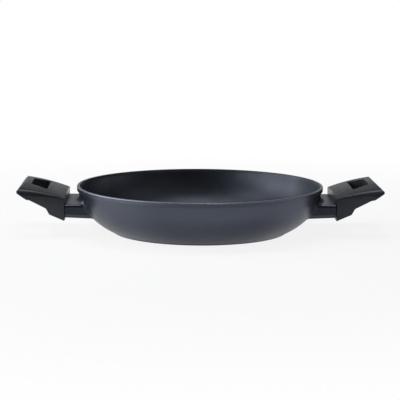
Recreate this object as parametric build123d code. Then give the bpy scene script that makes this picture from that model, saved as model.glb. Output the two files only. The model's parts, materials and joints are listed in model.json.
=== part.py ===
from build123d import *
import math
import os

# Two-handled frying pan, 28 cm inside the rim.
# Frame: millimetres, +Z up, origin in the middle of the base, X along the two handles.

# Pan bowl
pan_height = 53.5
inner_rim_radius = 140.0
rim_width = 3.3
lip_height = 5.0
lip_step_rise = 0.5
lip_overhang = 1.6
wall_reach = 39.2
wall_bulge_inset = 4.5
wall_bulge_height = 17.0
foot_height = 0.9
foot_flare = 0.6
rim_round = 0.8
lip_round = 0.5

# Pan inside
floor_thickness = 6.5
floor_overhang = 2.5
inner_bulge_inset = 6.5
inner_bulge_height = 19.5
flare_height = 3.0
flare_width = 1.4
floor_round = 12.0
flare_round = 3.0

# Steel plate let into the base for induction hobs
plate_inset = 15.9
plate_thickness = 1.6
plate_gap = 0.1
plate_groove_count = 6
plate_groove_width = 0.8
plate_groove_depth = 0.3
plate_first_groove = 18.0
plate_last_groove_inset = 8.0

# Cast lugs between the bowl and the handles
lug_half_width = 46.0
lug_drop = 17.2
lug_thickness = 15.1
lug_taper = 1.8
lug_edge_round = 3.0
lug_chamfer = 4.3
lug_root_inset = 32.0
lug_blend = 6.0
seam_gap = 0.4

# Tongue on each lug that goes into the handle's pocket
tongue_inset = 11.0
tongue_drop = 1.3
tongue_thickness = 5.5
tongue_length = 13.0
tongue_corner = 4.0
tongue_clearance = 0.3

# Handle outline
handle_stand_off = 11.7
handle_length = 53.5
handle_overhang = 2.2
handle_flare = 12.0
outer_corner = 4.0
side_trim_gap = 0.05

# Handle top
handle_step = 10.7
handle_rise = 13.2
top_bow = 1.7
crown_radius = 400.0
edge_round_inner = 2.0
edge_round_outer = 9.0

# Handle sides
belt_inner = 5.0
belt_outer = 2.0
side_drop_inner = 26.0
side_drop_outer = 13.0
side_inset_inner = 5.0
side_inset_outer = 7.0

# Handle underside and tip, lengths measured along X from the inner face
socket_depth = 29.6
socket_length = 17.4
socket_rise = 8.3
knuckle_length = 3.4
knuckle_rise = 7.2
grip_slope_length = 18.2
grip_slope_rise = 10.2
step_length = 3.5
step_rise = 0.6
tip_drop = 7.0
tip_thickness = 1.6
tip_bevel_length = 3.4
tip_bevel_rise = 3.2
tip_roll_length = 6.0
tip_roll_bulge = 0.8
knuckle_round = 3.0
grip_round = 5.0
step_round = 1.5
tip_round = 0.8
bevel_round = 1.5

# Grip opening
opening_setback = 20.6
opening_tip_inset = 13.5
opening_half_inner = 31.5
opening_half_outer = 21.5
opening_corner = 2.5
opening_edge_round = 0.6

# Handle edges
handle_edge_round = 1.0

# Screws and spring washers under each handle
screw_side_inset = 11.0
screw_inset = 6.4
screw_diameter = 4.0
screw_clearance = 0.15
screw_head_diameter = 8.0
screw_head_height = 2.4
screw_head_round = 1.0
screw_engagement = 5.0
screw_point = 0.5
drive_width = 1.2
drive_span = 4.4
drive_depth = 1.4
counterbore_clearance = 0.4
seat_thickness = 2.3
tip_relief = 1.0
washer_diameter = 7.4
washer_bore = 4.3
washer_thickness = 1.0
washer_slot = 0.7

# Worked-out places on the pan
rim_radius = inner_rim_radius + rim_width
lip_bottom = pan_height - lip_height
wall_top_radius = rim_radius - lip_overhang
wall_bulge_radius = wall_top_radius - wall_bulge_inset
foot_radius = wall_top_radius - wall_reach
base_radius = foot_radius - foot_flare
floor_radius = foot_radius + floor_overhang
inner_bulge_radius = inner_rim_radius - inner_bulge_inset
plate_radius = base_radius - plate_inset
plate_last_groove = plate_radius - plate_last_groove_inset
lug_top = pan_height - lug_drop
lug_bottom_at_handle = lug_top - lug_thickness
lug_bottom_at_pan = lug_bottom_at_handle - lug_taper
lug_root = inner_rim_radius - lug_root_inset

# Worked-out places on the handles
handle_inner = rim_radius + handle_stand_off
handle_outer = handle_inner + handle_length
half_width_inner = lug_half_width + handle_overhang
half_width_outer = half_width_inner + handle_flare
top_inner = lug_top + handle_step
top_outer = top_inner + handle_rise
above_part = 2 * top_outer
socket_bottom = top_inner - socket_depth
socket_middle = handle_inner + socket_length / 2
tip_top = top_outer - tip_drop
tip_bottom = tip_top - tip_thickness
opening_inner = handle_inner + opening_setback
opening_outer = handle_outer - opening_tip_inset

# Worked-out places where the handles are fixed
lug_end = handle_inner - seam_gap
tongue_half_width = lug_half_width - tongue_inset
tongue_end = lug_end + tongue_length
tongue_top = lug_top - tongue_drop
tongue_bottom = tongue_top - tongue_thickness
pocket_floor = tongue_bottom - tongue_clearance
seat_height = pocket_floor - seat_thickness
screw_x = handle_inner + screw_inset
screw_y = tongue_half_width - screw_side_inset
screw_places = [(screw_x, -screw_y), (screw_x, screw_y)]
screw_bore_radius = screw_diameter / 2 + screw_clearance


def upright(radius, low, high):
    middle = Align.CENTER
    return Pos(0, 0, low) * Cylinder(radius, high - low, align=(middle, middle, Align.MIN))


def bowl_outside():
    lip_inner = (wall_top_radius, lip_bottom - lip_step_rise)
    lip_outer = (rim_radius, lip_bottom)
    face = make_face([
        Polyline(lip_inner, lip_outer, (rim_radius, pan_height), (0, pan_height), (0, 0)),
        Polyline((0, 0), (base_radius, 0), (foot_radius, foot_height)),
        Bezier(
            (foot_radius, foot_height),
            (wall_bulge_radius, wall_bulge_height),
            lip_inner,
        ),
    ])
    lip_edge = face.vertices().sort_by_distance(lip_outer)[0]
    face = fillet(lip_edge, lip_round)
    return revolve(Plane.XZ * face, axis=Axis.Z)


def bowl_cavity():
    flare_start = (inner_rim_radius - flare_width, pan_height - flare_height)
    floor_edge = (floor_radius, floor_thickness)
    face = make_face([
        Bezier(floor_edge, (inner_bulge_radius, inner_bulge_height), flare_start),
        Polyline(
            flare_start, (inner_rim_radius, pan_height), (inner_rim_radius, above_part),
            (0, above_part), (0, floor_thickness), floor_edge,
        ),
    ])
    for point, radius in ((floor_edge, floor_round), (flare_start, flare_round)):
        corner = face.vertices().sort_by_distance(point)[0]
        face = fillet(corner, radius)
    return revolve(Plane.XZ * face, axis=Axis.Z)


def lug_section(x, bottom):
    side = lug_half_width
    face = make_face(Polyline(
        (-side, lug_top),
        (side, lug_top),
        (side, bottom + lug_chamfer),
        (side - lug_chamfer, bottom),
        (-side + lug_chamfer, bottom),
        (-side, bottom + lug_chamfer),
        close=True,
    ))
    face = fillet(face.vertices().group_by(Axis.Y)[-1], lug_edge_round)
    return Plane.YZ.offset(x) * face


def lug():
    near = lug_section(lug_root, lug_bottom_at_pan)
    far = lug_section(lug_end, lug_bottom_at_handle)
    return loft([near, far], ruled=True)


def tongue():
    length = tongue_end - lug_root
    plan = Rectangle(length, 2 * tongue_half_width, align=(Align.MAX, Align.CENTER))
    plan = fillet(plan.vertices().group_by(Axis.X)[-1], tongue_corner)
    piece = Pos(tongue_end, 0, tongue_bottom) * extrude(plan, tongue_thickness)
    for x, y in screw_places:
        piece -= Pos(x, y) * upright(screw_bore_radius, tongue_bottom, tongue_top)
    return piece


def mirrored(piece):
    return piece.mirror(Plane.YZ)


def rim_edges(body):
    top = body.edges().filter_by_position(Axis.Z, pan_height, pan_height)
    return top.filter_by(GeomType.CIRCLE)


def pan_body():
    bowl = bowl_outside()
    lugs = [lug(), mirrored(lug())]
    body = bowl + lugs
    body = fillet(new_edges(bowl, *lugs, combined=body), lug_blend)
    body += [tongue(), mirrored(tongue())]
    body -= bowl_cavity()
    body = fillet(rim_edges(body), rim_round)
    body -= upright(plate_radius + plate_gap, 0, plate_thickness)
    return body


def induction_base_plate():
    plate = upright(plate_radius, 0, plate_thickness)
    pitch = (plate_last_groove - plate_first_groove) / (plate_groove_count - 1)
    for i in range(plate_groove_count):
        middle = plate_first_groove + i * pitch
        ring = Circle(middle + plate_groove_width / 2)
        ring -= Circle(middle - plate_groove_width / 2)
        plate -= extrude(ring, plate_groove_depth)
    return plate


def along_handle(x, inner_value, outer_value):
    share = (x - handle_inner) / handle_length
    return inner_value + (outer_value - inner_value) * share


def handle_top_height(x):
    share = (x - handle_inner) / handle_length
    bow = 4 * top_bow * share * (1 - share)
    return along_handle(x, top_inner, top_outer) + bow


def handle_section(x):
    top = handle_top_height(x)
    half_width = along_handle(x, half_width_inner, half_width_outer)
    corner = along_handle(x, edge_round_inner, edge_round_outer)
    belt = along_handle(x, belt_inner, belt_outer)
    drop = along_handle(x, side_drop_inner, side_drop_outer)
    inset = along_handle(x, side_inset_inner, side_inset_outer)
    crown_centre = top - crown_radius
    corner_y = half_width - corner
    corner_z = crown_centre + math.sqrt((crown_radius - corner) ** 2 - corner_y**2)
    lean = math.atan2(corner_y, corner_z - crown_centre)
    crown_end = (
        crown_radius * math.sin(lean),
        crown_centre + crown_radius * math.cos(lean),
    )
    middle = (lean + math.pi / 2) / 2
    corner_mid = (
        corner_y + corner * math.sin(middle),
        corner_z + corner * math.cos(middle),
    )
    belt_low = corner_z - belt
    side_radius = (drop**2 + inset**2) / (2 * inset)
    half_turn = math.asin(drop / side_radius) / 2
    side_mid = (
        half_width - side_radius * (1 - math.cos(half_turn)),
        belt_low - side_radius * math.sin(half_turn),
    )
    foot = (half_width - inset, belt_low - drop)

    def across(point):
        return (-point[0], point[1])

    edges = [
        ThreePointArc(across(crown_end), (0, top), crown_end),
        ThreePointArc(crown_end, corner_mid, (half_width, corner_z)),
        Line((half_width, corner_z), (half_width, belt_low)),
        ThreePointArc((half_width, belt_low), side_mid, foot),
        Line(foot, across(foot)),
        ThreePointArc(across(foot), across(side_mid), (-half_width, belt_low)),
        Line((-half_width, belt_low), (-half_width, corner_z)),
        ThreePointArc((-half_width, corner_z), across(corner_mid), across(crown_end)),
    ]
    return Plane.YZ.offset(x) * make_face(edges)


def handle_blank():
    stations = [
        handle_inner - outer_corner,
        (handle_inner + handle_outer) / 2,
        handle_outer + outer_corner,
    ]
    return loft([handle_section(x) for x in stations])


def handle_side_outline():
    inner_low = (handle_inner, socket_bottom)
    inner_high = (handle_inner, above_part)
    socket_end = (handle_inner + socket_length, socket_bottom + socket_rise)
    grip_start = (socket_end[0] + knuckle_length, socket_end[1] + knuckle_rise)
    grip_end = (grip_start[0] + grip_slope_length, grip_start[1] + grip_slope_rise)
    step_end = (grip_end[0] + step_length, grip_end[1] + step_rise)
    tip_high = (handle_outer, tip_top)
    bevel_high = (handle_outer - tip_bevel_length, tip_top + tip_bevel_rise)
    roll_start_x = bevel_high[0] - tip_roll_length
    roll_start = (roll_start_x, handle_top_height(roll_start_x))
    roll_middle = (
        (roll_start[0] + bevel_high[0]) / 2,
        (roll_start[1] + bevel_high[1]) / 2 + tip_roll_bulge,
    )
    edges = [
        Polyline(
            inner_high, inner_low, socket_end, grip_start, grip_end, step_end,
            (handle_outer, tip_bottom), tip_high, bevel_high,
        ),
        ThreePointArc(bevel_high, roll_middle, roll_start),
        Polyline(roll_start, (roll_start_x, above_part), inner_high),
    ]
    face = make_face(edges)

    def corner_at(point):
        return face.vertices().sort_by_distance(point)[0]

    corners = [
        (socket_end, knuckle_round),
        (grip_start, grip_round),
        (grip_end, step_round),
        (step_end, step_round),
        ((handle_outer, tip_bottom), tip_round),
        (bevel_high, bevel_round),
    ]
    for point, radius in corners:
        face = fillet(corner_at(point), radius)
    return face


def handle_plan_outline():
    inner_half = half_width_inner + side_trim_gap
    outer_half = half_width_outer + side_trim_gap
    face = make_face(Polyline(
        (handle_inner, -inner_half),
        (handle_inner, inner_half),
        (handle_outer, outer_half),
        (handle_outer, -outer_half),
        close=True,
    ))
    return fillet(face.vertices().group_by(Axis.X)[-1], outer_corner)


def handle_trimmed():
    reach = half_width_outer + outer_corner
    side = Plane.XZ * handle_side_outline()
    plan = handle_plan_outline()
    blank = handle_blank()
    blank &= extrude(side, reach, both=True)
    blank &= extrude(plan, above_part)
    return blank


def grip_opening():
    inner_half = opening_half_inner
    outer_half = opening_half_outer
    plan = make_face(Polyline(
        (opening_inner, -inner_half),
        (opening_outer, -outer_half),
        (opening_outer, outer_half),
        (opening_inner, inner_half),
        close=True,
    ))
    plan = fillet(plan.vertices(), opening_corner)
    return extrude(plan, above_part)


def handle_pocket():
    length = tongue_length + tongue_clearance
    width = 2 * (tongue_half_width + tongue_clearance)
    depth = tongue_thickness + 2 * tongue_clearance
    plan = Rectangle(2 * length, width)
    plan = fillet(plan.vertices(), tongue_corner)
    return Pos(lug_end, 0, pocket_floor) * extrude(plan, depth)


def screw_way():
    head_room = screw_head_diameter / 2 + counterbore_clearance
    way = upright(head_room, 0, seat_height)
    way += upright(screw_bore_radius, 0, tongue_top + tip_relief)
    return way


def handle():
    piece = handle_trimmed()
    inner_face = piece.faces().filter_by(Plane.YZ).sort_by(Axis.X)[0]
    rounded = inner_face.edges()
    for y in (-half_width_inner, half_width_inner):
        rounded += piece.edges().sort_by_distance((socket_middle, y, socket_bottom))[:1]
    piece = fillet(rounded, handle_edge_round)
    opening = grip_opening()
    opened = piece - opening
    piece = fillet(new_edges(piece, opening, combined=opened), opening_edge_round)
    piece -= handle_pocket()
    for x, y in screw_places:
        piece -= Pos(x, y) * screw_way()
    return piece


def handle_screw():
    head_top = seat_height - washer_thickness
    head_bottom = head_top - screw_head_height
    tip = tongue_bottom + screw_engagement
    head = upright(screw_head_diameter / 2, head_bottom, head_top)
    head = fillet(head.edges().group_by(Axis.Z)[0], screw_head_round)
    for turn in (0, 90):
        slot = Rot(0, 0, turn) * Rectangle(drive_span, drive_width)
        head -= Pos(0, 0, head_bottom) * extrude(slot, drive_depth)
    shank = upright(screw_diameter / 2, head_top, tip)
    shank = chamfer(shank.edges().group_by(Axis.Z)[-1], screw_point)
    return head + shank


def lock_washer():
    low = seat_height - washer_thickness
    ring = upright(washer_diameter / 2, low, seat_height)
    ring -= upright(washer_bore / 2, low, seat_height)
    slot = Pos(washer_diameter / 2, 0) * Rectangle(washer_diameter, washer_slot)
    return ring - Pos(0, 0, low) * extrude(slot, washer_thickness)


def at_screws(piece):
    return Compound([Pos(x, y) * piece for x, y in screw_places])


def main():
    os.makedirs("parts", exist_ok=True)
    right = {
        "handle": handle(),
        "handle_screws": at_screws(handle_screw()),
        "lock_washers": at_screws(lock_washer()),
    }
    nodes = {"pan_body": pan_body(), "induction_base_plate": induction_base_plate()}
    for name, piece in right.items():
        nodes[f"{name}_right"] = piece
        nodes[f"{name}_left"] = mirrored(piece)
    for name, piece in nodes.items():
        export_step(piece, f"parts/{name}.step")


main()
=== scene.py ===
import json
import math

import bpy
from mathutils import Matrix, Quaternion, Vector


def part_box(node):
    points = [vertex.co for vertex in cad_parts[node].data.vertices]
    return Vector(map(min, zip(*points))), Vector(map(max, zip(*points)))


# Looks of the two-handled frying pan. Metres, +Z up, X along the two handles.

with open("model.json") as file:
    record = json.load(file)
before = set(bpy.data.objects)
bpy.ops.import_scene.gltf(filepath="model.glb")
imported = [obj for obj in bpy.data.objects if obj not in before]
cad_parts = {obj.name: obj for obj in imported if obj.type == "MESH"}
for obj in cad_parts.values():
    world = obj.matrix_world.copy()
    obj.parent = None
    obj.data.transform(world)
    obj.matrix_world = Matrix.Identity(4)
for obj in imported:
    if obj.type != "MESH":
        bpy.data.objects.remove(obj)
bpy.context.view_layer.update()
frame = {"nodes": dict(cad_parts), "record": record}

# Rim of the pan, from the frame
highest_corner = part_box("pan_body")[1]
RIM_RADIUS = highest_corner.y
RIM_TOP = highest_corner.z

# Camera
CAMERA_PLACE = (-0.0384, -1.6232, 0.2845)
CAMERA_TARGET = (0.0001, -0.0026, 0.0357)
CAMERA_ROLL = math.radians(0.31)
CAMERA_LENS_MM = 126.2
CAMERA_SENSOR_MM = 36.0
CAMERA_CLIP_END = 100.0

# Floor
FLOOR_RADIUS = 30.0
FLOOR_SIDES = 96
FLOOR_DROP = 0.0002
FLOOR_WHITE = (1, 1, 1, 1)

# How much of the floor is plain white instead of lit white. The shares go from near the pan
# to far from it, and in reflections also from in front of the pan to behind it.
FLOOR_NEAR_TO_FAR = (0.32, 0.80)
FLOOR_FRONT_TO_BACK = (-0.20, 0.10)
PLAIN_SEEN_NEAR_TO_FAR = (0.86, 1.0)
PLAIN_REFLECTED_NEAR_TO_FAR = (1.0, 0.2)
PLAIN_REFLECTED_FRONT_TO_BACK = (0.15, 0.85)

# Lamps and world
STUDIO_COLOR = (0.96, 0.98, 1.0)
WORLD_LEVEL = 0.07
SOFTBOXES = [
    # name, bearing and elevation in degrees, distance, width, height, radiance
    ("left_softbox", 172, 20, 2.0, 2.0, 1.1, 3.7),
    ("left_high_softbox", 180, 55, 2.0, 1.0, 0.6, 2.6),
    ("left_front_softbox", -147, 14, 2.0, 0.9, 0.8, 2.3),
    ("top_softbox", 90, 80, 2.0, 1.2, 1.0, 2.9),
    ("back_softbox", 100, 13, 2.3, 2.6, 0.7, 0.45),
    ("right_softbox", 0, 48, 2.0, 1.0, 0.8, 0.5),
    ("right_low_softbox", 6, 9, 2.0, 2.0, 0.5, 0.95),
    ("right_front_softbox", -42, 36, 2.0, 0.9, 1.2, 0.2),
]

# Coating on the pan, colours linear
OUTSIDE_DARK = (0.090, 0.099, 0.127, 1)
OUTSIDE_LIGHT = (0.108, 0.119, 0.151, 1)
# Painted highlight: a lighter colour along the top of the rim where it catches the light
RIM_PAINTED_HIGHLIGHT = (0.24, 0.26, 0.32, 1)
# Painted shade: a darker colour on the sides of the lugs, which carry the same coating as the
# body
LUG_SIDE_PAINTED_SHADE = (0.038, 0.042, 0.052, 1)
INSIDE_DARK = (0.041, 0.047, 0.060, 1)
INSIDE_LIGHT = (0.054, 0.061, 0.077, 1)
COAT_FLECK = (0.13, 0.145, 0.175, 1)
COAT_FLECK_AT_NOISE = (0.66, 0.78)
COAT_FLECK_SHARE = 0.5
COAT_METALLIC = 0.85
COAT_ROUGHNESS = (0.31, 0.38)
INSIDE_ROUGHER = 0.08
COAT_PATCHES_PER_M = 14.0
COAT_SMEARS_PER_M = 60.0
COAT_GRAIN_PER_M = 950.0
COAT_GRAIN_HEIGHT = 0.00006
COAT_WAVES_PER_M = 90.0
COAT_WAVE_HEIGHT = 0.00008

# Where the colour changes, each from the start to the end of the change: radius at the inner
# rim, height at the rim's top for the painted highlight, distance from the middle at the lugs
# for the painted shade on their sides, and parts of the normal
INNER_RIM_EDGE = (RIM_RADIUS - 0.0031, RIM_RADIUS - 0.0028)
RIM_TOP_EDGE = (RIM_TOP - 0.0013, RIM_TOP - 0.0005)
LUG_SHADE_EDGE = (RIM_RADIUS - 0.0253, RIM_RADIUS - 0.0213)
FACING_UP = (0.0, 0.1)
FACING_SIDE = (0.5, 0.8)

# Moulded phenolic of the handles
BAKELITE_DARK = (0.0185, 0.0198, 0.0232, 1)
BAKELITE_LIGHT = (0.0250, 0.0266, 0.0308, 1)
BAKELITE_ROUGHNESS = (0.30, 0.38)
BAKELITE_SHEEN = (0.84, 0.90, 1.0, 1)
BAKELITE_PATCHES_PER_M = 25.0
BAKELITE_SMEARS_PER_M = 80.0
BAKELITE_WAVES_PER_M = 45.0
BAKELITE_WAVE_HEIGHT = 0.00004
BAKELITE_GRAIN_PER_M = 1600.0
BAKELITE_GRAIN_HEIGHT = 0.00002

# Steel of the base plate, screws and washers
PLATE_COLOR = (0.56, 0.56, 0.57, 1)
PLATE_DULL = (0.42, 0.42, 0.43, 1)
PLATE_ROUGHNESS = (0.26, 0.42)
PLATE_SMEARS_PER_M = 18.0
PLATE_RINGS_PER_M = 2600.0
PLATE_RING_HEIGHT = 0.00003
SCREW_COLOR = (0.60, 0.60, 0.61, 1)
SCREW_DULL = (0.40, 0.40, 0.40, 1)
SCREW_ROUGHNESS = (0.28, 0.45)
SCREW_MARKS_PER_M = 900.0
SCREW_MARK_HEIGHT = 0.00002

# The part of a noise's values that a span uses unless it is told otherwise
NOISE_SPAN = (0.3, 0.7)

# Numbers of the Mix node's sockets for colours
MIX_FIRST = 6
MIX_SECOND = 7
MIX_RESULT = 2


class Shading:
    """A material's node tree with short calls to add and link nodes."""

    def __init__(self, name):
        self.material = bpy.data.materials.new(name)
        self.material.use_nodes = True
        self.tree = self.material.node_tree
        self.shader = self.tree.nodes["Principled BSDF"]
        texture = self.add("ShaderNodeTexCoord")
        self.place = texture.outputs["Object"]
        self.normal = texture.outputs["Normal"]

    def add(self, kind, **settings):
        node = self.tree.nodes.new(kind)
        for key, value in settings.items():
            setattr(node, key, value)
        return node

    def link(self, source, target):
        self.tree.links.new(source, target)

    def along(self, axis, source):
        split = self.add("ShaderNodeSeparateXYZ")
        self.link(source, split.inputs[0])
        return split.outputs[axis]

    def length(self, source):
        node = self.add("ShaderNodeVectorMath", operation="LENGTH")
        self.link(source, node.inputs[0])
        return node.outputs["Value"]

    def radius(self):
        flat = self.add("ShaderNodeVectorMath", operation="MULTIPLY")
        self.link(self.place, flat.inputs[0])
        flat.inputs[1].default_value = (1, 1, 0)
        return self.length(flat.outputs[0])

    def noise(self, per_m, detail=2.0, vector=None):
        node = self.add("ShaderNodeTexNoise")
        node.inputs["Scale"].default_value = per_m
        node.inputs["Detail"].default_value = detail
        self.link(vector or self.place, node.inputs["Vector"])
        return node.outputs["Fac"]

    def span(self, factor, values, edges=NOISE_SPAN, kind="LINEAR"):
        node = self.add("ShaderNodeMapRange", interpolation_type=kind)
        node.inputs["From Min"].default_value = edges[0]
        node.inputs["From Max"].default_value = edges[1]
        node.inputs["To Min"].default_value = values[0]
        node.inputs["To Max"].default_value = values[1]
        self.link(factor, node.inputs["Value"])
        return node.outputs["Result"]

    def math(self, operation, first, second=None):
        node = self.add("ShaderNodeMath", operation=operation)
        self.link(first, node.inputs[0])
        if second:
            self.link(second, node.inputs[1])
        return node.outputs[0]

    def blend(self, factor, first, second):
        node = self.add("ShaderNodeMix", data_type="RGBA")
        self.link(factor, node.inputs["Factor"])
        for socket, value in ((MIX_FIRST, first), (MIX_SECOND, second)):
            if isinstance(value, tuple):
                node.inputs[socket].default_value = value
            else:
                self.link(value, node.inputs[socket])
        return node.outputs[MIX_RESULT]

    def bump(self, height, distance, below=None):
        node = self.add("ShaderNodeBump")
        node.inputs["Distance"].default_value = distance
        self.link(height, node.inputs["Height"])
        if below:
            self.link(below, node.inputs["Normal"])
        return node.outputs["Normal"]

    def plug(self, **sources):
        names = {"color": "Base Color", "roughness": "Roughness", "normal": "Normal"}
        for key, source in sources.items():
            self.link(source, self.shader.inputs[names[key]])

    def set(self, name, value):
        self.shader.inputs[name].default_value = value


# Mask for the painted highlight along the rim's top
def painted_highlight_on_rim(look):
    return look.span(look.along("Z", look.place), (0, 1), RIM_TOP_EDGE)


# Mask for the painted shade on the sides of the lugs, where they face along Y
def painted_shade_on_lug_sides(look):
    out = look.math("ABSOLUTE", look.along("X", look.place))
    sideways = look.math("ABSOLUTE", look.along("Y", look.normal))
    beyond_wall = look.span(out, (0, 1), LUG_SHADE_EDGE)
    facing_side = look.span(sideways, (0, 1), FACING_SIDE)
    return look.math("MULTIPLY", beyond_wall, facing_side)


def inside_of_pan(look):
    within = look.span(look.radius(), (1, 0), INNER_RIM_EDGE)
    facing_up = look.span(look.along("Z", look.normal), (0, 1), FACING_UP)
    return look.math("MULTIPLY", within, facing_up)


def coating_material():
    look = Shading("nonstick_coating")
    patches = look.span(look.noise(COAT_PATCHES_PER_M, detail=3.0), (0, 1))
    outside = look.blend(patches, OUTSIDE_DARK, OUTSIDE_LIGHT)
    # Painted highlight on the rim's top, then painted shade on the sides of the lugs
    outside = look.blend(painted_highlight_on_rim(look), outside, RIM_PAINTED_HIGHLIGHT)
    outside = look.blend(painted_shade_on_lug_sides(look), outside, LUG_SIDE_PAINTED_SHADE)
    inside = look.blend(patches, INSIDE_DARK, INSIDE_LIGHT)
    within = inside_of_pan(look)
    speckle = look.noise(COAT_GRAIN_PER_M, detail=1.0)
    flecks = look.span(speckle, (0, COAT_FLECK_SHARE), COAT_FLECK_AT_NOISE)
    color = look.blend(flecks, look.blend(within, outside, inside), COAT_FLECK)
    smears = look.span(look.noise(COAT_SMEARS_PER_M, detail=4.0), COAT_ROUGHNESS)
    rougher = look.span(within, (0, INSIDE_ROUGHER), (0, 1))
    waves = look.bump(look.noise(COAT_WAVES_PER_M), COAT_WAVE_HEIGHT)
    grain = look.bump(look.noise(COAT_GRAIN_PER_M), COAT_GRAIN_HEIGHT, waves)
    look.plug(color=color, roughness=look.math("ADD", smears, rougher), normal=grain)
    look.set("Metallic", COAT_METALLIC)
    return look.material


def bakelite_material():
    look = Shading("bakelite")
    patches = look.span(look.noise(BAKELITE_PATCHES_PER_M, detail=4.0), (0, 1))
    smears = look.span(look.noise(BAKELITE_SMEARS_PER_M, detail=4.0), BAKELITE_ROUGHNESS)
    waves = look.bump(look.noise(BAKELITE_WAVES_PER_M, detail=1.0), BAKELITE_WAVE_HEIGHT)
    grain = look.bump(look.noise(BAKELITE_GRAIN_PER_M), BAKELITE_GRAIN_HEIGHT, waves)
    color = look.blend(patches, BAKELITE_DARK, BAKELITE_LIGHT)
    look.plug(color=color, roughness=smears, normal=grain)
    look.set("Specular Tint", BAKELITE_SHEEN)
    return look.material


def turned_steel_material():
    look = Shading("base_steel")
    outward = look.add("ShaderNodeCombineXYZ")
    look.link(look.radius(), outward.inputs["X"])
    rings = look.noise(PLATE_RINGS_PER_M, detail=3.0, vector=outward.outputs[0])
    smears = look.span(look.noise(PLATE_SMEARS_PER_M, detail=4.0), (0, 1))
    look.plug(
        color=look.blend(smears, PLATE_COLOR, PLATE_DULL),
        roughness=look.span(rings, PLATE_ROUGHNESS),
        normal=look.bump(rings, PLATE_RING_HEIGHT),
    )
    look.set("Metallic", 1.0)
    return look.material


def screw_steel_material():
    look = Shading("fastener_steel")
    marks = look.noise(SCREW_MARKS_PER_M, detail=4.0)
    look.plug(
        color=look.blend(look.span(marks, (0, 1)), SCREW_COLOR, SCREW_DULL),
        roughness=look.span(marks, SCREW_ROUGHNESS),
        normal=look.bump(marks, SCREW_MARK_HEIGHT),
    )
    look.set("Metallic", 1.0)
    return look.material


def dress(materials):
    for subpart in frame["record"]["subparts"]:
        node = frame["nodes"][subpart["node"]]
        node.data.materials.clear()
        node.data.materials.append(materials[subpart["material_slot"]])


def plain_share(look):
    away = look.length(look.place)
    back = look.along("Y", look.place)
    seen = look.span(away, PLAIN_SEEN_NEAR_TO_FAR, FLOOR_NEAR_TO_FAR, "SMOOTHSTEP")
    reflected = look.math(
        "MULTIPLY",
        look.span(back, PLAIN_REFLECTED_FRONT_TO_BACK, FLOOR_FRONT_TO_BACK),
        look.span(away, PLAIN_REFLECTED_NEAR_TO_FAR, FLOOR_NEAR_TO_FAR, "SMOOTHSTEP"),
    )
    path = look.add("ShaderNodeLightPath").outputs
    mirror_ray = look.math("MAXIMUM", path["Is Glossy Ray"], path["Is Transmission Ray"])
    return look.math(
        "MAXIMUM",
        look.math("MULTIPLY", path["Is Camera Ray"], seen),
        look.math("MULTIPLY", mirror_ray, reflected),
    )


def floor_material():
    look = Shading("studio_floor")
    nodes = look.tree.nodes
    nodes.remove(look.shader)
    lit = look.add("ShaderNodeBsdfDiffuse")
    plain = look.add("ShaderNodeEmission")
    lit.inputs["Color"].default_value = FLOOR_WHITE
    plain.inputs["Color"].default_value = FLOOR_WHITE
    mix = look.add("ShaderNodeMixShader")
    look.link(plain_share(look), mix.inputs["Fac"])
    look.link(lit.outputs[0], mix.inputs[1])
    look.link(plain.outputs[0], mix.inputs[2])
    look.link(mix.outputs[0], nodes["Material Output"].inputs["Surface"])
    return look.material


def make_floor():
    bpy.ops.mesh.primitive_circle_add(
        vertices=FLOOR_SIDES, radius=FLOOR_RADIUS, fill_type="NGON", location=(0, 0, -FLOOR_DROP)
    )
    floor = bpy.context.object
    floor.name = "studio_floor"
    floor.data.materials.append(floor_material())


def make_world():
    world = bpy.data.worlds.new("studio")
    world.use_nodes = True
    background = world.node_tree.nodes["Background"]
    background.inputs["Color"].default_value = (*STUDIO_COLOR, 1)
    background.inputs["Strength"].default_value = WORLD_LEVEL
    bpy.context.scene.world = world


def make_softbox(name, bearing, elevation, distance, width, height, radiance):
    light = bpy.data.lights.new(name, "AREA")
    light.shape = "RECTANGLE"
    light.size = width
    light.size_y = height
    light.energy = radiance * math.pi * width * height
    light.color = STUDIO_COLOR
    lamp = bpy.data.objects.new(name, light)
    turn, rise = math.radians(bearing), math.radians(elevation)
    level = distance * math.cos(rise)
    away = Vector((level * math.cos(turn), level * math.sin(turn), distance * math.sin(rise)))
    lamp.rotation_euler = away.to_track_quat("Z", "Y").to_euler()
    lamp.location = away
    bpy.context.scene.collection.objects.link(lamp)


def make_camera():
    data = bpy.data.cameras.new("camera")
    data.lens = CAMERA_LENS_MM
    data.sensor_width = CAMERA_SENSOR_MM
    data.clip_end = CAMERA_CLIP_END
    camera = bpy.data.objects.new("camera", data)
    aim = (Vector(CAMERA_TARGET) - Vector(CAMERA_PLACE)).to_track_quat("-Z", "Y")
    turn = aim @ Quaternion((0, 0, 1), CAMERA_ROLL)
    camera.matrix_world = Matrix.Translation(CAMERA_PLACE) @ turn.to_matrix().to_4x4()
    bpy.context.scene.collection.objects.link(camera)
    bpy.context.scene.camera = camera


dress({
    "nonstick_coating": coating_material(),
    "bakelite": bakelite_material(),
    "base_steel": turned_steel_material(),
    "fastener_steel": screw_steel_material(),
})
make_floor()
make_world()
for softbox in SOFTBOXES:
    make_softbox(*softbox)
make_camera()
bpy.context.scene.view_settings.view_transform = "Standard"
